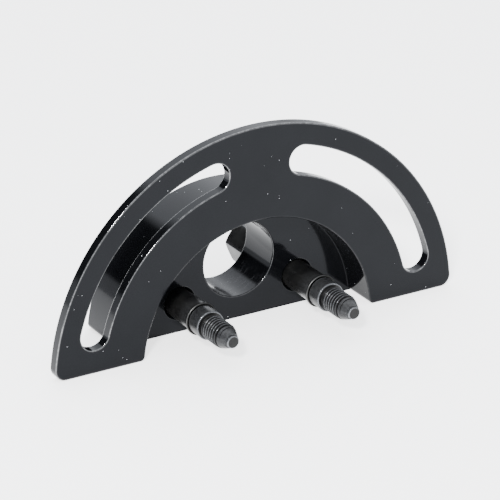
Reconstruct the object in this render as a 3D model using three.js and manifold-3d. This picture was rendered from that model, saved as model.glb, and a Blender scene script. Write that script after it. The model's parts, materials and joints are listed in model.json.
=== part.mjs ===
// Sprocket holding tool: a half-moon flange with two arc slots, a half-round cup
// hub welded behind it, and two captive M8 screws that slide and turn in the hub.
// Millimetres. +X to the right along the base, +Y to the back, +Z up.
// The flat base lies on z = 0, x = 0 is the middle plane, and y = 0 is halfway
// between the foremost screw tip and the rearmost screw head.

import * as THREE from 'three';
import { mergeVertices } from 'three/addons/utils/BufferGeometryUtils.js';
import Module from 'manifold-3d';

const wasm = await Module();
wasm.setup();

// Half-moon flange. All its arcs share one centre, below the flat base.
const arcCentreZ = -3.0;
const plateRadius = 70.0;
const plateThickness = 3.5;
const plateCorner = 3.5;
const notchRadius = 40.0;
const notchCorner = 1.6;

// Arc slots, angles from the base up to the centre of each round end.
const slotMeanRadius = 58.4;
const slotWidth = 9.4;
const slotLowAngle = 15;
const slotHighAngle = 75;

// Hub. Depths are counted from the flange's front face.
const hubRadius = 44.1;
const hubCorner = 1.7;
const hubBackDepth = 29.1;
const pocketDepth = 12.7;
const boreRadius = 12.25;
const boreZ = 19.5;

// Screw holes through the hub.
const screwX = 20.8;
const screwZ = 9.5;
const screwHoleRadius = 4.95;
const holeMouthChamfer = 0.5;

// Captive screw. Stations are counted from the tip towards the head.
const screwTipReach = 20.7;
const shankRadius = 4.65;
const shankFront = 13.4;
const shankChamfer = 0.3;
const neckRadius = 3.3;
const threadRadius = 3.95;
const threadRootRadius = 3.35;
const threadPitch = 1.25;
const threadStart = 4.9;
const threadCrests = 7;
const crestFlat = 0.16;
const coneTipRadius = 2.3;
const dogRadius = 2.0;
const dogLength = 1.1;
const dogEdge = 0.2;
const headAcrossFlats = 13.0;
const headLength = 15.9;
const headChamfer = 1.1;
const washerFaceRadius = 6.1;
const washerFaceHeight = 0.4;
const headSeatGap = 0.1;
const rightHeadTurn = 37;
const leftHeadTurn = 12;
const leftScrewBack = 1.0;

// Wire snap ring in a groove of the shank.
const ringStation = 19.25;
const ringWireRadius = 0.55;
const ringMeanRadius = 4.75;
const ringMouth = 2.4;
const rightMouthTurn = -60;
const leftMouthTurn = -75;
const grooveWidth = 1.5;
const grooveRadius = 4.1;

// Where these put the flange and the screws along y.
const screwLength = screwTipReach + hubBackDepth + headSeatGap + headLength;
const screwTipY = -(screwLength + leftScrewBack) / 2;
const frontY = screwTipY + screwTipReach;
const plateBackY = frontY + plateThickness;
const pocketFloorY = frontY + pocketDepth;
const hubBackY = frontY + hubBackDepth;
const seatStation = screwLength - headLength;

const arcSag = 0.02;
const roundSegments = 32;
const overCut = 1.0;
const radians = THREE.MathUtils.degToRad;

const blackOxide = { color: 0x2b2d31, roughness: 0.3, metalness: 0.75 };
const screwBlack = { color: 0x1f2022, roughness: 0.45, metalness: 0.85 };
const springSteel = { color: 0x55575a, roughness: 0.35, metalness: 1.0 };

// Points along an arc, in degrees; it runs clockwise when the end is below the start.
// No chord leaves the true arc by more than arcSag.
function arc(centreX, centreZ, radius, from, to) {
  const step = 2 * Math.acos(1 - arcSag / radius);
  const count = Math.ceil(radians(Math.abs(to - from)) / step);
  const points = [];
  for (let i = 0; i <= count; i += 1) {
    const angle = radians(from + ((to - from) * i) / count);
    const x = centreX + radius * Math.cos(angle);
    const z = centreZ + radius * Math.sin(angle);
    points.push(new THREE.Vector2(x, z));
  }
  return points;
}

// Neighbouring stretches meet in one point, so a repeated point is dropped.
function outline(...stretches) {
  const points = [];
  for (const point of stretches.flat()) {
    const last = points.at(-1);
    if (!last || last.distanceTo(point) > 1e-4) points.push(point);
  }
  if (points[0].distanceTo(points.at(-1)) < 1e-4) points.pop();
  return points;
}

// Centre of a corner round where an arc of the given radius comes down to the base:
// a positive corner lies inside the arc and a negative one outside it.
function cornerCentre(radius, corner) {
  const z = Math.abs(corner);
  const x = Math.sqrt((radius - corner) ** 2 - (z - arcCentreZ) ** 2);
  const angle = THREE.MathUtils.radToDeg(Math.atan2(z - arcCentreZ, x));
  return { x, z, angle };
}

// Half disc over the base with rounded lower corners, from right to left.
function halfDisc(radius, corner) {
  const c = cornerCentre(radius, corner);
  return [
    ...arc(c.x, c.z, corner, -90, c.angle),
    ...arc(0, arcCentreZ, radius, c.angle, 180 - c.angle),
    ...arc(-c.x, c.z, corner, 180 - c.angle, 270),
  ];
}

// Open side of the half-round notch, from left to right over the top.
function notchEdge() {
  const c = cornerCentre(notchRadius, -notchCorner);
  return [
    ...arc(-c.x, c.z, notchCorner, -90, -c.angle),
    ...arc(0, arcCentreZ, notchRadius, 180 - c.angle, c.angle),
    ...arc(c.x, c.z, notchCorner, 180 + c.angle, 270),
  ];
}

function slotOutline(lowAngle, highAngle) {
  const half = slotWidth / 2;
  const end = (angle, from) => {
    const x = slotMeanRadius * Math.cos(radians(angle));
    const z = arcCentreZ + slotMeanRadius * Math.sin(radians(angle));
    return arc(x, z, half, angle + from, angle + from + 180);
  };
  return outline(
    arc(0, arcCentreZ, slotMeanRadius + half, lowAngle, highAngle),
    end(highAngle, 0),
    arc(0, arcCentreZ, slotMeanRadius - half, highAngle, lowAngle),
    end(lowAngle, 180),
  );
}

// A drawing in x and z becomes a solid of the given depth; y runs from -depth to 0
// once the piece is turned upright by its mesh.
function extrude(shapePoints, depth, holes = []) {
  const shape = new THREE.Shape(shapePoints);
  shape.holes = holes.map((points) => new THREE.Path(points));
  return new THREE.ExtrudeGeometry(shape, { depth, bevelEnabled: false });
}

function toSolid(geometry) {
  const bare = geometry.clone();
  bare.deleteAttribute('normal');
  bare.deleteAttribute('uv');
  const merged = mergeVertices(bare, 1e-4);
  return new wasm.Manifold(new wasm.Mesh({
    numProp: 3,
    vertProperties: new Float32Array(merged.attributes.position.array),
    triVerts: new Uint32Array(merged.index.array),
  }));
}

function toGeometry(solid) {
  const mesh = solid.getMesh();
  const geometry = new THREE.BufferGeometry();
  geometry.setAttribute('position', new THREE.BufferAttribute(mesh.vertProperties, 3));
  geometry.setIndex(new THREE.BufferAttribute(mesh.triVerts, 1));
  geometry.computeVertexNormals();
  return geometry;
}

function named(name, geometry, look) {
  const mesh = new THREE.Mesh(geometry, new THREE.MeshStandardMaterial(look));
  mesh.name = name;
  return mesh;
}

// The drawings stand up with their front towards -y.
function upright(mesh, backY) {
  mesh.rotation.x = Math.PI / 2;
  mesh.position.y = backY;
  return mesh;
}

function facePlate() {
  const slots = [
    slotOutline(slotLowAngle, slotHighAngle),
    slotOutline(180 - slotHighAngle, 180 - slotLowAngle),
  ];
  const edge = outline(halfDisc(plateRadius, plateCorner), notchEdge());
  const geometry = extrude(edge, plateThickness, slots);
  return upright(named('face_plate', geometry, blackOxide), plateBackY);
}

// The pocket is open to the front and below, as the flange's notch is.
function pocketCutter() {
  const depth = pocketDepth - plateThickness + overCut;
  const c = cornerCentre(notchRadius, -notchCorner);
  const below = [
    new THREE.Vector2(c.x, -overCut),
    new THREE.Vector2(-c.x, -overCut),
  ];
  const edge = outline(notchEdge(), below).reverse();
  const geometry = extrude(edge, depth);
  geometry.translate(0, 0, hubBackDepth - pocketDepth);
  return toSolid(geometry);
}

// Cone that breaks the edge of a screw hole at the pocket floor.
function mouthCutter(x) {
  const top = screwHoleRadius + holeMouthChamfer + overCut;
  const height = holeMouthChamfer + overCut;
  const geometry = new THREE.CylinderGeometry(top, screwHoleRadius, height, roundSegments);
  geometry.rotateX(Math.PI / 2);
  geometry.translate(x, screwZ, hubBackDepth - pocketDepth - holeMouthChamfer + height / 2);
  return toSolid(geometry);
}

function hubBlock() {
  const holes = [
    outline(arc(0, boreZ, boreRadius, 0, 360)),
    outline(arc(screwX, screwZ, screwHoleRadius, 0, 360)),
    outline(arc(-screwX, screwZ, screwHoleRadius, 0, 360)),
  ];
  const edge = outline(halfDisc(hubRadius, hubCorner));
  let solid = toSolid(extrude(edge, hubBackDepth - plateThickness, holes));
  solid = solid.subtract(pocketCutter());
  solid = solid.subtract(mouthCutter(screwX)).subtract(mouthCutter(-screwX));
  return upright(named('hub_block', toGeometry(solid), blackOxide), hubBackY);
}

// Profile of the turned part of the screw as radius and station, from the tip.
function screwProfile() {
  const points = [
    [0, 0],
    [dogRadius - dogEdge, 0],
    [dogRadius, dogEdge],
    [dogRadius, dogLength],
    [coneTipRadius, dogLength],
  ];
  for (let i = 0; i < threadCrests; i += 1) {
    const crest = threadStart + i * threadPitch;
    points.push([threadRadius, crest - crestFlat / 2]);
    points.push([threadRadius, crest + crestFlat / 2]);
    if (i < threadCrests - 1) points.push([threadRootRadius, crest + threadPitch / 2]);
  }
  const threadEnd = threadStart + (threadCrests - 0.5) * threadPitch;
  points.push(
    [neckRadius, threadEnd],
    [neckRadius, shankFront],
    [shankRadius - shankChamfer, shankFront],
    [shankRadius, shankFront + shankChamfer],
    [shankRadius, ringStation - grooveWidth / 2],
    [grooveRadius, ringStation - grooveWidth / 2],
    [grooveRadius, ringStation + grooveWidth / 2],
    [shankRadius, ringStation + grooveWidth / 2],
    [shankRadius, seatStation + overCut],
    [0, seatStation + overCut],
  );
  return points.map(([radius, station]) => new THREE.Vector2(radius, station));
}

// The head's ends are turned down to a cone at the back and a washer face in front.
function headTurning() {
  const flat = headAcrossFlats / 2;
  const corner = flat / Math.cos(Math.PI / 6) + overCut;
  const coneRun = (corner - flat + headChamfer) * Math.tan(Math.PI / 6);
  const face = seatStation + washerFaceHeight;
  const profile = [
    [0, seatStation],
    [washerFaceRadius, seatStation],
    [washerFaceRadius, face],
    [corner, face],
    [corner, screwLength - coneRun],
    [flat - headChamfer, screwLength],
    [0, screwLength],
  ];
  return profile.map(([radius, station]) => new THREE.Vector2(radius, station));
}

// The screw is turned about its own axis, which starts as +y with the tip at 0.
function screwSolid() {
  const turned = toSolid(new THREE.LatheGeometry(screwProfile(), roundSegments));
  const cornerRadius = headAcrossFlats / 2 / Math.cos(Math.PI / 6);
  const prism = new THREE.CylinderGeometry(cornerRadius, cornerRadius, headLength, 6);
  prism.translate(0, screwLength - headLength / 2, 0);
  const turning = toSolid(new THREE.LatheGeometry(headTurning(), roundSegments * 2));
  return turned.add(toSolid(prism).intersect(turning));
}

function captiveScrew(name, x, back, turn) {
  const mesh = named(name, toGeometry(screwSolid()), screwBlack);
  mesh.position.set(x, screwTipY + back, screwZ);
  mesh.rotation.y = radians(turn);
  return mesh;
}

// Split ring: a torus with its mouth cut away, lying across the screw axis.
function snapRing(name, x, back, mouthTurn) {
  const torus = new THREE.TorusGeometry(ringMeanRadius, ringWireRadius, 10, 44);
  const cut = new THREE.BoxGeometry(ringMeanRadius * 2, ringMouth, ringWireRadius * 4);
  cut.translate(ringMeanRadius, 0, 0);
  const geometry = toGeometry(toSolid(torus).subtract(toSolid(cut)));
  geometry.rotateZ(radians(mouthTurn));
  const mesh = named(name, geometry, springSteel);
  mesh.rotation.x = Math.PI / 2;
  mesh.position.set(x, screwTipY + back + ringStation, screwZ);
  return mesh;
}

const tool = new THREE.Group();
const body = new THREE.Group();
body.add(facePlate(), hubBlock());

const rightSide = new THREE.Group();
rightSide.add(captiveScrew('right_screw', screwX, 0, rightHeadTurn));
rightSide.add(snapRing('right_snap_ring', screwX, 0, rightMouthTurn));

const leftSide = new THREE.Group();
leftSide.add(captiveScrew('left_screw', -screwX, leftScrewBack, leftHeadTurn));
leftSide.add(snapRing('left_snap_ring', -screwX, leftScrewBack, leftMouthTurn));

tool.add(body, rightSide, leftSide);

export default tool;
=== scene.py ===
import json
import math

import bmesh
import bpy
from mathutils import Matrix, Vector


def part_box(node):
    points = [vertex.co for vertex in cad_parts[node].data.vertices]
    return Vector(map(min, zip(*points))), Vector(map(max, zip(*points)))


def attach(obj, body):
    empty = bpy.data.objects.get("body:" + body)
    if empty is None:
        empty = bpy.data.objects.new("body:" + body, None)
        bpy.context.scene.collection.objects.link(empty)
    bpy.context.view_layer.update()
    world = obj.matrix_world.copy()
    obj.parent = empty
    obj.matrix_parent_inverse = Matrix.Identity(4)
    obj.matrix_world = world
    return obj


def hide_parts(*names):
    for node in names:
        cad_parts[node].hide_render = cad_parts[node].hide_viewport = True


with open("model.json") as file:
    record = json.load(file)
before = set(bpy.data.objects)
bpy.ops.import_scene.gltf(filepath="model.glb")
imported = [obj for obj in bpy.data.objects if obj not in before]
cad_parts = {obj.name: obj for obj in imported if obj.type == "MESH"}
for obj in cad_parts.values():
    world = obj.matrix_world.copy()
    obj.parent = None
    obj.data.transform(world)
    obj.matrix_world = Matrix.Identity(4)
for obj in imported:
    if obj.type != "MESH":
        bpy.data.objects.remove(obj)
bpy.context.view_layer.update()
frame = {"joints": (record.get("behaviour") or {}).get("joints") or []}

# Black sprocket holding tool: slotted half-moon flange, cup hub, two captive screws.
# Metres, +X right along the base, +Y to the screw heads, +Z up.

mm = 0.001


class Wire:
    # an output socket of a shader tree; sums on it are written as plain Python
    def __init__(self, tree, socket=None):
        self.tree = tree
        self.socket = socket

    def node(self, kind, settings=None, inputs=None, out=0):
        made = self.tree.nodes.new(kind)
        for key, value in (settings or {}).items():
            if key == "stops":
                ramp = made.color_ramp
                while len(ramp.elements) < len(value):
                    ramp.elements.new(0.5)
                for element, (place, shade) in zip(ramp.elements, value):
                    element.position = place
                    element.color = (shade, shade, shade, 1)
            else:
                setattr(made, key, value)
        for key, value in (inputs or {}).items():
            if isinstance(value, Wire):
                self.tree.links.new(value.socket, made.inputs[key])
            else:
                made.inputs[key].default_value = value
        return Wire(self.tree, made.outputs[out])

    def math(self, operation, first, second=0.0, clamp=False):
        settings = {"operation": operation, "use_clamp": clamp}
        return self.node("ShaderNodeMath", settings, {0: first, 1: second})

    def __add__(self, other):
        return self.math("ADD", self, other)

    def __radd__(self, other):
        return self.math("ADD", other, self)

    def __sub__(self, other):
        return self.math("SUBTRACT", self, other)

    def __rsub__(self, other):
        return self.math("SUBTRACT", other, self)

    def __mul__(self, other):
        return self.math("MULTIPLY", self, other)

    def __rmul__(self, other):
        return self.math("MULTIPLY", other, self)

    def clip(self):
        return self.math("ADD", self, 0.0, clamp=True)

    def ramp(self, stops):
        return self.node("ShaderNodeValToRGB", {"stops": stops}, {"Fac": self})

    def mix(self, share, first, second):
        settings = {"data_type": "RGBA"}
        return self.node("ShaderNodeMix", settings, {0: share, 6: first, 7: second}, out=2)

    def stretch(self, vector, factors):
        settings = {"operation": "MULTIPLY"}
        return self.node("ShaderNodeVectorMath", settings, {0: vector, 1: factors})

    def noise(self, vector, scale, detail=2.0, roughness=0.5):
        inputs = {"Vector": vector, "Scale": scale, "Detail": detail, "Roughness": roughness}
        return self.node("ShaderNodeTexNoise", {}, inputs)

    def attribute(self, name):
        return self.node("ShaderNodeAttribute", {"attribute_name": name}, out="Fac")


def newMaterial(name, **constants):
    material = bpy.data.materials.new(name)
    material.use_nodes = True
    shader = material.node_tree.nodes["Principled BSDF"]
    for socket, value in constants.items():
        shader.inputs[socket.replace("_", " ")].default_value = value
    place = Wire(material.node_tree).node("ShaderNodeTexCoord", out="Object")
    return material, shader, place


def feed(shader, **links):
    tree = links["Base_Color"].tree
    for socket, wire in links.items():
        tree.links.new(wire.socket, shader.inputs[socket.replace("_", " ")])


# Black gloss coating of the flange and hub. Its edges get a lighter colour that is partly wear and
# partly a painted highlight.

coating = {
    "darkest": (0.0012, 0.0013, 0.0016, 1),
    "lightest": (0.0026, 0.0028, 0.0034, 1),
    "dust": (0.5, 0.51, 0.53, 1),
    "wornEdgeAndHighlight": (0.045, 0.045, 0.05, 1),
    "roughnessLow": 0.05,
    "roughnessHigh": 0.11,
    "gloss": 0.11,
    "glossTint": (0.88, 0.92, 1.0, 1),
    "edgeCoat": 2.8,
    "coatRoughness": 0.08,
    "peelHeight": 0.01 * mm,
    "peelStrength": 0.22,
    "streakShine": 0.45,
    "dustPerMetre": 760,
    "dustKept": 0.11,
    "dustSmallest": 0.04,
    "dustSpread": 0.10,
}


def dustSpecks(place):
    # small round specks in a share of the cells
    v = coating
    settings = {"feature": "F1"}
    inputs = {"Vector": place, "Scale": v["dustPerMetre"], "Randomness": 1.0}
    near = place.node("ShaderNodeTexVoronoi", settings, inputs, out="Distance")
    cell = place.node("ShaderNodeTexVoronoi", settings, inputs, out="Color")
    pick = place.node("ShaderNodeSeparateColor", {}, {"Color": cell}, out="Red")
    size = place.node("ShaderNodeSeparateColor", {}, {"Color": cell}, out="Green")
    small = near.math("LESS_THAN", near, size * v["dustSpread"] + v["dustSmallest"])
    chosen = pick.math("LESS_THAN", pick, v["dustKept"])
    return small * chosen


def glossBlack(name, streaks=0.0):
    v = coating
    material, shader, place = newMaterial(
        name,
        IOR=1.5,
        Specular_IOR_Level=v["gloss"],
        Specular_Tint=v["glossTint"],
        Coat_IOR=v["edgeCoat"],
        Coat_Roughness=v["coatRoughness"],
    )
    mottle = place.noise(place, 55, 4, 0.6)
    fine = place.noise(place, 900, 3, 0.6)
    tone = mottle.ramp([(0.25, 0.0), (0.75, 1.0)])
    base = place.mix(tone, v["darkest"], v["lightest"])
    edge = place.attribute("edge")
    chips = place.noise(place, 900, 4, 0.75).ramp([(0.45, 0.0), (0.75, 1.0)])
    # rounded and slot edges turn lighter: partly real wear, partly a painted highlight along the
    # edge
    worn = (edge * edge * chips * 0.75).clip()
    base = place.mix(worn, base, v["wornEdgeAndHighlight"])
    specks = dustSpecks(place)
    base = place.mix(specks * 0.8, base, v["dust"])
    roughness = v["roughnessLow"] + mottle * (v["roughnessHigh"] - v["roughnessLow"])
    roughness = (roughness + fine * 0.03 + worn * 0.12 + specks * 0.4).clip()
    peel = place.noise(place, 260, 2, 0.5)
    height = peel * 0.7 + fine * 0.15 + specks * 1.5
    if streaks:
        bore = place.attribute("bore")
        along = place.stretch(place, (1.0, 2.2, 1.0))
        scratch = place.noise(along, 380, 5, 0.75).ramp([(0.52, 0.0), (0.68, 1.0)])
        roughness = (roughness + bore * scratch * 0.2 + bore * 0.05).clip()
        height = height + bore * scratch * streaks
        base = place.mix((bore * scratch * v["streakShine"]).clip(), base, v["wornEdgeAndHighlight"])
    inputs = {"Strength": v["peelStrength"], "Distance": v["peelHeight"], "Height": height}
    bump = place.node("ShaderNodeBump", {}, inputs)
    # the thin coating on an edge is rubbed to a brighter shine
    shine = (edge * (0.45 + chips * 0.55)).clip()
    feed(shader, Base_Color=base, Roughness=roughness, Coat_Weight=shine, Normal=bump)
    return material


# Phosphated screw steel, rubbed bright on its edges. The light colour on edges and thread crests
# is partly a painted highlight.

screwFinish = {
    "black": (0.004, 0.004, 0.0042, 1),
    "brown": (0.0098, 0.0098, 0.0094, 1),
    "rubbedAndHighlight": (0.16, 0.165, 0.175, 1),
    # painted shade for the thread roots
    "root": (0.0008, 0.0008, 0.0008, 1),
    "roughness": 0.24,
    "gloss": 0.18,
    "scuffs": 0.07,
    "toolMarks": 2600,
    "markDepth": 0.04 * mm,
    "markStrength": 0.35,
}


def screwBlack(name):
    v = screwFinish
    material, shader, place = newMaterial(name, Specular_IOR_Level=v["gloss"])
    patches = place.noise(place, 190, 4, 0.6).ramp([(0.35, 0.0), (0.7, 1.0)])
    grain = place.noise(place, 2400, 2, 0.6)
    rings = place.stretch(place, (0.02, 1.0, 0.02))
    marks = place.noise(rings, v["toolMarks"], 3, 0.7)
    base = place.mix(patches, v["black"], v["brown"])
    edge = place.attribute("edge")
    breakup = place.noise(place, 1300, 3, 0.7).ramp([(0.34, 0.0), (0.58, 1.0)])
    # edges and thread crests turn lighter: partly real rubbing, partly a painted highlight
    rubbedAndHighlight = (edge * (0.35 + breakup * 0.65)).clip()
    scuffs = place.noise(place.stretch(place, (1.0, 0.35, 1.0)), 900, 5, 0.8)
    scuffs = scuffs.ramp([(0.58, 0.0), (0.72, 1.0)]) * v["scuffs"]
    bare = (rubbedAndHighlight + scuffs).clip()
    # painted shade: thread roots are made near-black and fully metallic so they reflect almost
    # nothing
    root = place.attribute("root").clip()
    base = place.mix(bare, base, v["rubbedAndHighlight"])
    base = place.mix(root, base, v["root"])
    metallic = (0.2 + bare * 0.8 + root).clip()
    roughness = (v["roughness"] + patches * 0.10 - bare * 0.12 + grain * 0.06).clip()
    height = marks * 0.6 + grain * 0.4
    inputs = {"Strength": v["markStrength"], "Distance": v["markDepth"], "Height": height}
    bump = place.node("ShaderNodeBump", {}, inputs)
    feed(shader, Base_Color=base, Metallic=metallic, Roughness=roughness, Normal=bump)
    return material


# Dark spring wire with a painted highlight band along one side.
wireFinish = {
    "dark": (0.004, 0.004, 0.004, 1),
    "paintedHighlight": (0.12, 0.12, 0.118, 1),
    "roughness": 0.42,
    "drawDepth": 0.03 * mm,
    "drawStrength": 0.3,
}


def springWire(name):
    v = wireFinish
    material, shader, place = newMaterial(name, Metallic=1.0)
    drawn = place.noise(place.stretch(place, (1.0, 3.0, 1.0)), 1500, 3, 0.7)
    edge = place.attribute("edge")
    # on the snap ring the edge mark is a painted highlight band, slightly broken up by drawing
    # marks
    paintedHighlight = (edge * 0.8 + drawn * 0.2 - 0.1).clip()
    base = place.mix(paintedHighlight, v["dark"], v["paintedHighlight"])
    roughness = (v["roughness"] - paintedHighlight * 0.18 + drawn * 0.08).clip()
    inputs = {"Strength": v["drawStrength"], "Distance": v["drawDepth"], "Height": drawn}
    bump = place.node("ShaderNodeBump", {}, inputs)
    feed(shader, Base_Color=base, Roughness=roughness, Normal=bump)
    return material


# Outlines are lists of x and z, running anticlockwise round the solid.

flange = {
    "radius": 70.0 * mm,
    "centreZ": -3.0 * mm,
    "corner": 3.5 * mm,
    "notchRadius": 40.0 * mm,
    "notchCorner": 1.6 * mm,
    "slotMean": 58.4 * mm,
    "slotHalf": 4.7 * mm,
    "slotLow": 15,
    "slotHigh": 75,
    "frontEdge": 0.28 * mm,
    "backEdge": 0.25 * mm,
    "slotEdge": 0.24 * mm,
    "notchWear": 0.15,
    "backWear": 0.6,
    "sag": 0.0012 * mm,
}


def arc(centreX, centreZ, radius, start, end):
    # points no further than the sag from the true arc
    step = 2 * math.acos(1 - flange["sag"] / radius)
    count = max(3, math.ceil(math.radians(abs(end - start)) / step))
    angles = [math.radians(start + (end - start) * i / count) for i in range(count + 1)]
    return [(centreX + radius * math.cos(a), centreZ + radius * math.sin(a)) for a in angles]


def joined(*stretches):
    points = []
    for point in [p for stretch in stretches for p in stretch]:
        if not points or math.dist(points[-1], point) > 1e-7:
            points.append(point)
    if math.dist(points[0], points[-1]) < 1e-7:
        points.pop()
    return points


def cornerCentre(radius, corner):
    # a positive corner lies inside the arc and a negative one outside it
    z = abs(corner)
    x = math.sqrt((radius - corner) ** 2 - (z - flange["centreZ"]) ** 2)
    return x, z, math.degrees(math.atan2(z - flange["centreZ"], x))


def halfDisc(radius, corner):
    x, z, angle = cornerCentre(radius, corner)
    return joined(
        arc(x, z, corner, -90, angle),
        arc(0, flange["centreZ"], radius, angle, 180 - angle),
        arc(-x, z, corner, 180 - angle, 270),
    )


def notchEdge():
    # left to right over the top
    corner = flange["notchCorner"]
    x, z, angle = cornerCentre(flange["notchRadius"], -corner)
    return joined(
        arc(-x, z, corner, -90, -angle),
        arc(0, flange["centreZ"], flange["notchRadius"], 180 - angle, angle),
        arc(x, z, corner, 180 + angle, 270),
    )


def slotOutline(low, high):
    # runs clockwise, as a hole does
    mean, half = flange["slotMean"], flange["slotHalf"]

    def end(angle, turn):
        x = mean * math.cos(math.radians(angle))
        z = flange["centreZ"] + mean * math.sin(math.radians(angle))
        return arc(x, z, half, angle + turn, angle + turn + 180)

    outline = joined(
        arc(0, flange["centreZ"], mean + half, low, high),
        end(high, 0),
        arc(0, flange["centreZ"], mean - half, high, low),
        end(low, 180),
    )
    return outline[::-1]


def circle(x, z, radius, count):
    angles = [-2 * math.pi * i / count for i in range(count)]
    return [(x + radius * math.cos(a), z + radius * math.sin(a)) for a in angles]


def inset(points, distance, closed=True):
    # each point moves into the solid, which lies on the left of the outline
    moved = []
    last = len(points) - 1
    for i, (x, z) in enumerate(points):
        before = points[i - 1] if closed or i else points[i]
        after = points[(i + 1) % len(points)] if closed or i < last else points[i]
        alongX, alongZ = after[0] - before[0], after[1] - before[1]
        length = math.hypot(alongX, alongZ)
        moved.append((x - alongZ / length * distance, z + alongX / length * distance))
    return moved


class Builder:
    # collects rings of points and the faces between them
    def __init__(self, name):
        self.name = name
        self.bm = bmesh.new()
        marks = ("edge", "bore", "root")
        self.layers = {mark: self.bm.verts.layers.float.new(mark) for mark in marks}

    def ring(self, points, y, **marks):
        verts = [self.bm.verts.new((x, y, z)) for x, z in points]
        return self.mark(verts, marks)

    def mark(self, verts, marks):
        for name, value in marks.items():
            for vert in verts:
                vert[self.layers[name]] = value
        return verts

    def strip(self, first, second, closed=True):
        count = len(first)
        for i in range(count if closed else count - 1):
            j = (i + 1) % count
            corners = [first[i], first[j], second[j], second[i]]
            kept = [v for k, v in enumerate(corners) if v not in corners[:k]]
            if len(kept) > 2:
                self.bm.faces.new(kept)

    def fill(self, *loops):
        edges = []
        for loop in loops:
            for a, b in zip(loop, loop[1:] + loop[:1]):
                edges.append(self.bm.edges.get((a, b)) or self.bm.edges.new((a, b)))
        bmesh.ops.triangle_fill(self.bm, use_beauty=True, edges=edges)

    def finish(self, material, body, node, sharpAngle=38):
        bmesh.ops.recalc_face_normals(self.bm, faces=self.bm.faces)
        for face in self.bm.faces:
            face.smooth = True
        for edge in self.bm.edges:
            turn = edge.calc_face_angle(0)
            # a flat face keeps its own normals where a rounded strip joins it
            flatRim = abs(turn) < 0.002 and len({len(face.verts) for face in edge.link_faces}) == 2
            edge.smooth = abs(turn) < math.radians(sharpAngle) and not flatRim
        mesh = bpy.data.meshes.new(self.name)
        self.bm.to_mesh(mesh)
        self.bm.free()
        piece = bpy.data.objects.new(self.name, mesh)
        bpy.context.scene.collection.objects.link(piece)
        mesh.materials.append(material)
        weighted = piece.modifiers.new("flat faces stay flat", "WEIGHTED_NORMAL")
        weighted.keep_sharp = True
        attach(piece, body)
        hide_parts(node)


roundSteps = 4
rimWear = 0.3    # where a rounded edge runs out into its faces


def rounding(edge):
    # inset, depth and wear along a quarter round, from the flat face to the wall
    rows = [(edge * 2, 0.0, 0.0)]
    for i in range(roundSteps + 1):
        t = math.pi / 2 * i / roundSteps
        wear = 1.0 if 0 < i < roundSteps else rimWear
        rows.append((edge * (1 - math.sin(t)), edge * (1 - math.cos(t)), wear))
    return rows + [(0.0, edge * 2, 0.0)]


def walls(build, points, yFront, yBack, frontEdge, backEdge, bore=0.0, worn=1.0):
    # a closed outline's wall with rounded edges; gives its front and back rings
    rings = []
    for inward, deep, wear in rounding(frontEdge):
        rings.append(build.ring(inset(points, inward), yFront + deep, edge=wear * worn))
    for inward, deep, wear in reversed(rounding(backEdge)):
        rings.append(build.ring(inset(points, inward), yBack - deep, edge=wear * worn))
    if bore:
        lowest = min(z for _, z in points)
        for vert in [v for ring in rings[1:-1] for v in ring]:
            vert[build.layers["bore"]] = max(0.0, 1 - (vert.co.z - lowest) / bore)
    for first, second in zip(rings, rings[1:]):
        build.strip(first, second)
    return rings[0], rings[-1]


plateLow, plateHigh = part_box("face_plate")
hubLow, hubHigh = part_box("hub_block")


def makeFlange(material):
    build = Builder("facePlate")
    yFront, yBack = plateLow.y, plateHigh.y
    notch = notchEdge()
    outer = halfDisc(flange["radius"], flange["corner"])
    outline = joined(outer, notch)
    inNotch = set(notch[1:-1])
    rings = []
    for inward, deep, wear in rounding(flange["frontEdge"]):
        ring = build.ring(inset(outline, inward), yFront + deep)
        for vert, point in zip(ring, outline):
            vert[build.layers["edge"]] = wear * (flange["notchWear"] if point in inNotch else 1.0)
        rings.append(ring)
    # behind the notch the wall runs on flush into the hub, so only the outside is rounded
    for inward, deep, wear in reversed(rounding(flange["backEdge"])):
        moved = inset(outline, inward)
        ring = []
        for point, away in zip(outline, moved):
            flush = point in inNotch
            x, z = point if flush else away
            y = yBack if flush and inward > 0 else yBack - deep
            vert = build.bm.verts.new((x, y, z))
            ring.append(vert)
            build.mark([vert], {"edge": 0.0 if flush else wear * flange["backWear"]})
        rings.append(ring)
    for first, second in zip(rings, rings[1:]):
        build.strip(first, second)
    fronts, backs = [rings[0]], [rings[-1]]
    low, high = flange["slotLow"], flange["slotHigh"]
    for slot in (slotOutline(low, high), slotOutline(180 - high, 180 - low)):
        front, back = walls(build, slot, yFront, yBack, flange["slotEdge"], flange["backEdge"])
        fronts.append(front)
        backs.append(back)
    build.fill(*fronts)
    build.fill(*backs)
    bmesh.ops.remove_doubles(build.bm, verts=build.bm.verts, dist=1e-8)
    build.finish(material, "tool_body", "face_plate")


hub = {
    "radius": 44.1 * mm,
    "corner": 1.7 * mm,
    "pocketDepth": 12.7 * mm,
    "boreRadius": 12.25 * mm,
    "boreZ": 19.5 * mm,
    "boreEdge": 0.28 * mm,
    "holeRadius": 4.95 * mm,
    "mouth": 0.5 * mm,
    "backEdge": 0.25 * mm,
    "fillet": 0.35 * mm,
    "filletFade": 2.5 * mm,
    "streaksUpTo": 6 * mm,
    "backWear": 0.7,
    "boreWear": 0.35,
    "mouthWear": 0.12,
    "holeWear": 0.08,
    "boreSides": 160,
    "holeSides": 72,
}


def screwAxis(side):
    joint = next(j for j in frame["joints"] if j["name"] == side + "_screw_spin")
    return joint["pos_m"][0], joint["pos_m"][2]


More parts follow.
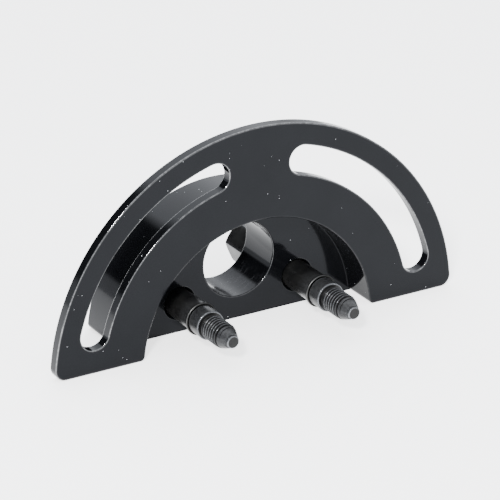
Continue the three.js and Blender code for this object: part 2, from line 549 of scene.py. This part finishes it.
def makeHub(material):
    build = Builder("hubBlock")
    yFront, yFloor, yBack = hubLow.y, plateLow.y + hub["pocketDepth"], hubHigh.y
    outer = halfDisc(hub["radius"], hub["corner"])
    notch = notchEdge()
    rim = [notch[-1], *outer, notch[0]]
    outside = [build.ring(rim, y) for y in (yFront, yFloor, yBack - hub["backEdge"] * 2)]
    front = [outside[0][-1], *build.ring(notch[1:-1], yFront), outside[0][0]]
    inside = [front]
    # a small fillet round the pocket floor, fading out at the base
    fillet = [hub["fillet"] * min(1, z / hub["filletFade"]) for _, z in notch]
    for i in range(roundSteps + 1):
        t = math.pi / 2 * i / roundSteps
        out = inset(notch, -1.0 * mm, closed=False)
        ring = []
        for (x, z), (farX, farZ), size in list(zip(notch, out, fillet))[1:-1]:
            reach = size * (1 - math.cos(t)) / mm
            y = yFloor - size * (1 - math.sin(t))
            place = (x + (farX - x) * reach, y, z + (farZ - z) * reach)
            ring.append(build.bm.verts.new(place))
        inside.append([outside[1][-1], *ring, outside[1][0]])
    # the back edge is rounded all round, the straight base line included
    backRings = [outside[2]]
    for inward, deep, wear in reversed(rounding(hub["backEdge"])[:-1]):
        backRings.append(build.ring(inset(rim, inward), yBack - deep, edge=wear * hub["backWear"]))
    build.strip(outside[0], outside[1], closed=False)
    build.strip(outside[1], outside[2])
    for first, second in zip(inside, inside[1:]):
        build.strip(first, second, closed=False)
    for first, second in zip(backRings, backRings[1:]):
        build.strip(first, second)
    floors, backs = [inside[-1]], [backRings[-1]]
    bore = circle(0, hub["boreZ"], hub["boreRadius"], hub["boreSides"])
    edges = (hub["boreEdge"], hub["boreEdge"])
    front, back = walls(build, bore, yFloor, yBack, *edges, hub["streaksUpTo"], hub["boreWear"])
    floors.append(front)
    backs.append(back)
    for side in ("left", "right"):
        x, z = screwAxis(side)
        hole = circle(x, z, hub["holeRadius"], hub["holeSides"])
        rings = [
            build.ring(inset(hole, hub["mouth"] * 1.4), yFloor),
            build.ring(inset(hole, hub["mouth"]), yFloor, edge=hub["mouthWear"]),
            build.ring(hole, yFloor + hub["mouth"], edge=hub["holeWear"]),
            build.ring(hole, yFloor + hub["mouth"] * 2),
            build.ring(hole, yBack),
        ]
        for first, second in zip(rings, rings[1:]):
            build.strip(first, second)
        floors.append(rings[0])
        backs.append(rings[-1])
    build.fill(outside[0] + inside[0][1:-1])
    build.fill(*floors)
    build.fill(*backs)
    build.finish(material, "tool_body", "hub_block")


# A screw is swept round its axis, with stations counted from the tip.

screw = {
    "dogRadius": 2.0 * mm,
    "dogLength": 1.1 * mm,
    "coneTip": 2.3 * mm,
    "threadRadius": 3.95 * mm,
    "rootRadius": 3.2 * mm,
    "pitch": 1.25 * mm,
    "coneEnd": 5.2 * mm,
    "threadEnd": 12.75 * mm,
    "neckRadius": 3.3 * mm,
    "shankRadius": 4.65 * mm,
    "shankFront": 13.4 * mm,
    "shankEdge": 0.3 * mm,
    "ringStation": 19.25 * mm,
    "grooveWidth": 1.5 * mm,
    "grooveRadius": 4.1 * mm,
    "headLength": 15.9 * mm,
    "acrossFlats": 13.0 * mm,
    "headChamfer": 1.1 * mm,
    "washerRadius": 6.1 * mm,
    "washerHeight": 0.4 * mm,
    "dogEdge": 0.2 * mm,
    "grooveEdge": 0.1 * mm,
    "flankSlope": 1.22,
    "rootFlat": 0.08,
    "runOut": 0.4,
    "coneBelly": 0.28,
    "threadedFrom": 0.35,
    "cornerLeft": 0.992,
    "cornerRise": 0.1475,
    "coneWear": 0.15,
    "crestWearAndHighlight": 0.6,
    "hexWear": 0.3,
    "wearFocus": 6,
    "threadSteps": 150,
    "coneSteps": 14,
    "around": 96,
    "headTurn": {"right": 173, "left": 148},
}


def threadShape(station, angle):
    # flank shape of a V thread with a narrow crest and root, winding once a pitch
    s = screw
    phase = (station / s["pitch"] - angle / (2 * math.pi)) % 1
    flank = min(1, max(0, abs(2 * phase - 1) * s["flankSlope"] - s["rootFlat"]))
    runOut = min(1, max(0, (s["threadEnd"] - station) / (s["runOut"] * s["pitch"])))
    return s["rootRadius"] + (s["threadRadius"] - s["rootRadius"]) * flank * runOut


def tipRadius(station, angle):
    s = screw
    along = (station - s["dogLength"]) / (s["coneEnd"] - s["dogLength"])
    along = min(1.5, along)
    bulged = along + s["coneBelly"] * along * (1 - along)
    cone = s["coneTip"] + (s["threadRadius"] - s["coneTip"]) * bulged
    return min(cone, threadShape(station, angle)) if along > s["threadedFrom"] else cone


hexStep = math.pi / 3


def hexRadius(angle):
    # a hex with its corners just broken
    flat = screw["acrossFlats"] / 2
    away = (angle + hexStep / 2) % hexStep - hexStep / 2
    return min(flat / math.cos(away), flat / math.cos(math.pi / 6) * screw["cornerLeft"])


def roundedRows(station, radius, edge, worn):
    # a quarter round that grows to the radius, going back from the station
    rows = []
    for i in range(roundSteps):
        t = math.pi / 2 * i / (roundSteps - 1)
        rows.append((station + edge * (1 - math.cos(t)), radius - edge * (1 - math.sin(t)), worn))
    return rows


# Each row of a screw is a station, a radius or a function of the angle, and how worn it is; that
# wear mark also carries a painted highlight.

def tipRows():
    # dog point, cone and thread
    s = screw
    length, radius = s["dogLength"], s["dogRadius"]
    rows = [(0, radius * 0.5, 0.0), (0, radius * 0.82, 0.0)]
    rows += roundedRows(0, radius, s["dogEdge"], 0.9)
    rows.append((length * 0.55, radius, 0.12))
    rows.append((length, radius * 1.01, 0.2))
    rows.append((length + 0.08 * mm, s["coneTip"], 0.3))
    for i in range(1, s["threadSteps"] + 1):
        station = length + (s["threadEnd"] - length) * i / s["threadSteps"]
        rows.append((station, tipRadius, "thread"))
    return rows


def shankRows(seat):
    # neck, shank and the snap ring's groove, back to the seat under the head
    s = screw
    front, neck, radius = s["shankFront"], s["neckRadius"], s["shankRadius"]
    rows = [
        (s["threadEnd"] + 0.1 * mm, neck, 0.0),
        (front - 0.2 * mm, neck, 0.0),
        (front - 0.05 * mm, neck + 0.1 * mm, 0.0),
        (front, neck + 0.3 * mm, 0.0),
        (front, radius - s["shankEdge"] * 1.5, 0.0),
    ]
    rows += roundedRows(front, radius, s["shankEdge"], 0.7)
    rows.append((front + s["shankEdge"] + 0.25 * mm, radius, 0.15))
    edge = s["grooveEdge"]
    near = s["ringStation"] - s["grooveWidth"] / 2
    far = s["ringStation"] + s["grooveWidth"] / 2
    rows += [
        (near - 0.4 * mm, radius, 0.1),
        (near - edge, radius, 0.8),
        (near, radius - edge, 1.0),
        (near, s["grooveRadius"], 0.0),
        (far, s["grooveRadius"], 0.0),
        (far, radius - edge, 1.0),
        (far + edge, radius, 0.8),
        (far + 0.4 * mm, radius, 0.1),
    ]
    rows += [(far + (seat - far) * share, radius, 0.0) for share in (0.2, 0.4, 0.6, 0.8)]
    return rows + [(seat, radius, 0.0)]


def headRows(seat, end):
    # washer face and chamfered hex
    s = screw
    face = seat + s["washerHeight"]
    flat = s["acrossFlats"] / 2
    cornerOut = flat / math.cos(math.pi / 6)
    coneRun = (cornerOut - flat + s["headChamfer"]) * math.tan(math.pi / 6)

    def chamfered(station):
        cone = flat - s["headChamfer"] + (end - station) / math.tan(math.pi / 6)
        return lambda _, local: min(cone, hexRadius(local + hexStep / 2))

    rows = [
        (seat, s["washerRadius"] - 0.1 * mm, 0.3),
        (seat + 0.1 * mm, s["washerRadius"], 0.6),
        (face, s["washerRadius"], 0.0),
        (face, hexRadius, "hex"),
        (face + (end - coneRun - face) * 0.5, hexRadius, "hex"),
        (end - coneRun, hexRadius, "hex"),
    ]
    for i in range(1, s["coneSteps"] + 1):
        station = end - coneRun * (1 - i / s["coneSteps"])
        rows.append((station, chamfered(station), "hex"))
    return rows


def sweepRadius(station, shape, local):
    # the hex starts on a corner
    if shape is hexRadius:
        return hexRadius(local + hexStep / 2)
    return shape(station, local) if callable(shape) else shape


def wearAt(station, radius, worn, local):
    s = screw
    if worn == "thread":
        if radius < threadShape(station, local) - 1e-9:
            return {"edge": s["coneWear"]}
        # thread crests get a lighter colour that is partly a painted highlight
        crest = (radius - s["rootRadius"]) / (s["threadRadius"] - s["rootRadius"])
        worn = max(0.0, crest) ** s["wearFocus"] * s["crestWearAndHighlight"]
        # painted shade deepens towards the thread root
        return {"edge": worn, "root": (1 - crest) * 0.9}
    if worn == "hex":
        corner = (radius / (s["acrossFlats"] / 2) - 1) / s["cornerRise"]
        return {"edge": max(0.0, min(1.0, corner)) ** s["wearFocus"] * s["hexWear"]}
    return {"edge": worn}


def makeScrew(side, material):
    build = Builder(side + "Screw")
    low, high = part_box(side + "_screw")
    x, z = screwAxis(side)
    count = screw["around"]
    turn = math.radians(screw["headTurn"][side])
    rings = []
    length = high.y - low.y
    seat = length - screw["headLength"]
    for station, shape, worn in tipRows() + shankRows(seat) + headRows(seat, length):
        ring = []
        for i in range(count):
            local = 2 * math.pi * i / count
            radius = sweepRadius(station, shape, local)
            angle = local - turn
            place = (x + radius * math.cos(angle), low.y + station, z - radius * math.sin(angle))
            vert = build.bm.verts.new(place)
            ring.append(vert)
            build.mark([vert], wearAt(station, radius, worn, local))
        rings.append(ring)
    for first, second in zip(rings, rings[1:]):
        build.strip(first, second)
    build.bm.faces.new(rings[0])
    build.bm.faces.new(rings[-1])
    node = side + "_screw"
    build.finish(material, side + "_screw", node, sharpAngle=32)


snapRing = {
    "meanRadius": 4.75 * mm,
    "wireRadius": 0.55 * mm,
    "mouth": 2.4 * mm,
    "mouthTurn": {"right": -60, "left": -75},
    "dome": [(-0.85, 0.5), (-0.5, 0.85)],
    "steps": 120,
    "around": 20,
}


def makeSnapRing(side, material):
    build = Builder(side + "SnapRing")
    low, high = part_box(side + "_snap_ring")
    x, z = screwAxis(side)
    y = (low.y + high.y) / 2
    r = snapRing
    gap = math.degrees(math.asin(r["mouth"] / 2 / r["meanRadius"]))
    start = r["mouthTurn"][side] + gap
    steps, around = r["steps"], r["around"]
    # the wire's two ends are domed
    stations = [(0, a, b) for a, b in r["dome"]]
    stations += [(i / steps, 0, 1) for i in range(steps + 1)]
    stations += [(1, -a, b) for a, b in reversed(r["dome"])]
    inward = math.degrees(r["wireRadius"] * 0.5 / r["meanRadius"])
    sweep = 360 - 2 * gap - 2 * inward
    rings = []
    for share, beyond, size in stations:
        extra = math.degrees(beyond * r["wireRadius"] * 0.5 / r["meanRadius"])
        angle = math.radians(start + inward + sweep * share + extra)
        ring = []
        for k in range(around):
            t = 2 * math.pi * k / around
            radius = r["meanRadius"] + r["wireRadius"] * size * math.cos(t)
            place = (
                x + radius * math.cos(angle),
                y + r["wireRadius"] * size * math.sin(t),
                z + radius * math.sin(angle),
            )
            vert = build.bm.verts.new(place)
            ring.append(vert)
            # painted highlight: a narrow band on the outer front side of the wire, carried in the
            # edge mark
            build.mark([vert], {"edge": max(0.0, math.cos(t + 0.4)) ** 10})
        rings.append(ring)
    for first, second in zip(rings, rings[1:]):
        build.strip(first, second)
    build.bm.faces.new(rings[0])
    build.bm.faces.new(rings[-1])
    node = side + "_snap_ring"
    build.finish(material, side + "_ring", node, sharpAngle=60)


flangeCoat = glossBlack("flangeCoat")
hubCoat = glossBlack("hubCoat", streaks=2.5)
screwCoat = screwBlack("screwCoat")
ringCoat = springWire("ringCoat")
print("materials made")

makeFlange(flangeCoat)
makeHub(hubCoat)
print("flange and hub made")

for side in ("left", "right"):
    makeScrew(side, screwCoat)
    makeSnapRing(side, ringCoat)
print("screws and snap rings made")


studio = {
    "azimuth": -30.6,
    "elevation": 23.6,
    "distance": 0.9183,
    "lens": 216.8,
    "aimRight": -0.00299,
    "aimUp": 0.02770,
    "floorTone": (0.82, 0.82, 0.82, 1),
    "floorGlow": 2.5,
    "worldTone": (0.92, 0.95, 1.0, 1),
    "worldStrength": 1.7,
    "backGlow": {"bottom": 0.22, "soft": 0.15, "strength": 2.0},
    "corner": {
        "side": 0.17,
        "softSide": 0.09,
        "bottom": 0.12,
        "softBottom": 0.03,
        "top": 0.80,
        "softTop": 0.15,
        "darkness": 0.985,
    },
    "floorHalf": 3.0,
    "lamps": {
        "overhead": {"place": (0.1, 0.1, 1.2), "size": 1.2, "power": 5},
        "key": {"place": (-0.62, -0.71, 0.70), "size": 0.14, "power": 26},
    },
    "lampAim": (0, 0, 0.03),
}


def makeCamera():
    s = studio
    a, e = math.radians(s["azimuth"]), math.radians(s["elevation"])
    back = Vector((math.sin(a) * math.cos(e), -math.cos(a) * math.cos(e), math.sin(e)))
    right = Vector((math.cos(a), math.sin(a), 0))
    up = back.cross(right)
    aim = Vector((0, plateLow.y, flange["centreZ"])) + right * s["aimRight"] + up * s["aimUp"]
    data = bpy.data.cameras.new("camera")
    data.lens = s["lens"]
    data.sensor_width = 36
    data.clip_start = 0.01
    camera = bpy.data.objects.new("camera", data)
    camera.location = aim + back * s["distance"]
    camera.rotation_mode = "QUATERNION"
    camera.rotation_quaternion = (-back).to_track_quat("-Z", "Y")
    bpy.context.scene.collection.objects.link(camera)
    bpy.context.scene.camera = camera


def makeFloor():
    mesh = bpy.data.meshes.new("floor")
    half = studio["floorHalf"]
    corners = [(-half, -half, 0), (half, -half, 0), (half, half, 0), (-half, half, 0)]
    mesh.from_pydata(corners, [], [(0, 1, 2, 3)])
    floor = bpy.data.objects.new("floor", mesh)
    bpy.context.scene.collection.objects.link(floor)
    material, shader, place = newMaterial(
        "floorPaint", Roughness=0.6, Emission_Strength=studio["floorGlow"]
    )
    grain = place.noise(place, 40, 2, 0.5)
    tone = place.mix(grain * 0.03, studio["floorTone"], (0.78, 0.78, 0.78, 1))
    feed(shader, Base_Color=tone, Emission_Color=tone)
    mesh.materials.append(material)


def makeLamp(name):
    values = studio["lamps"][name]
    data = bpy.data.lights.new(name, "AREA")
    data.shape = "RECTANGLE"
    data.size = data.size_y = values["size"]
    data.energy = values["power"]
    lamp = bpy.data.objects.new(name, data)
    lamp.location = values["place"]
    lamp.rotation_mode = "QUATERNION"
    toward = Vector(studio["lampAim"]) - Vector(values["place"])
    lamp.rotation_quaternion = toward.to_track_quat("-Z", "Y")
    bpy.context.scene.collection.objects.link(lamp)


def makeWorld():
    # bright all round but for one dark corner behind the tool on the left
    world = bpy.data.worlds.new("studio")
    world.use_nodes = True
    bpy.context.scene.world = world
    tree = world.node_tree
    toward = Wire(tree).node("ShaderNodeTexCoord", out="Generated")
    across = toward.node("ShaderNodeSeparateXYZ", {}, {0: toward}, out="X")
    deep = toward.node("ShaderNodeSeparateXYZ", {}, {0: toward}, out="Y")
    height = toward.node("ShaderNodeSeparateXYZ", {}, {0: toward}, out="Z")
    c = studio["corner"]
    left = ((0.0 - across - c["side"] * deep) * (1 / c["softSide"])).clip()
    behind = (deep * 8.0).clip()
    above = ((height - c["bottom"]) * (1 / c["softBottom"])).clip()
    below = ((c["top"] - height) * (1 / c["softTop"])).clip()
    corner = left * behind * above * below
    g = studio["backGlow"]
    glow = behind * ((height - g["bottom"]) * (1 / g["soft"])).clip()
    strength = studio["worldStrength"] + glow * g["strength"]
    strength = strength * (1.0 - corner * c["darkness"])
    sky = tree.nodes["Background"]
    sky.inputs["Color"].default_value = studio["worldTone"]
    tree.links.new(strength.socket, sky.inputs["Strength"])


makeCamera()
makeFloor()
makeWorld()
for name in studio["lamps"]:
    makeLamp(name)
print("studio made")
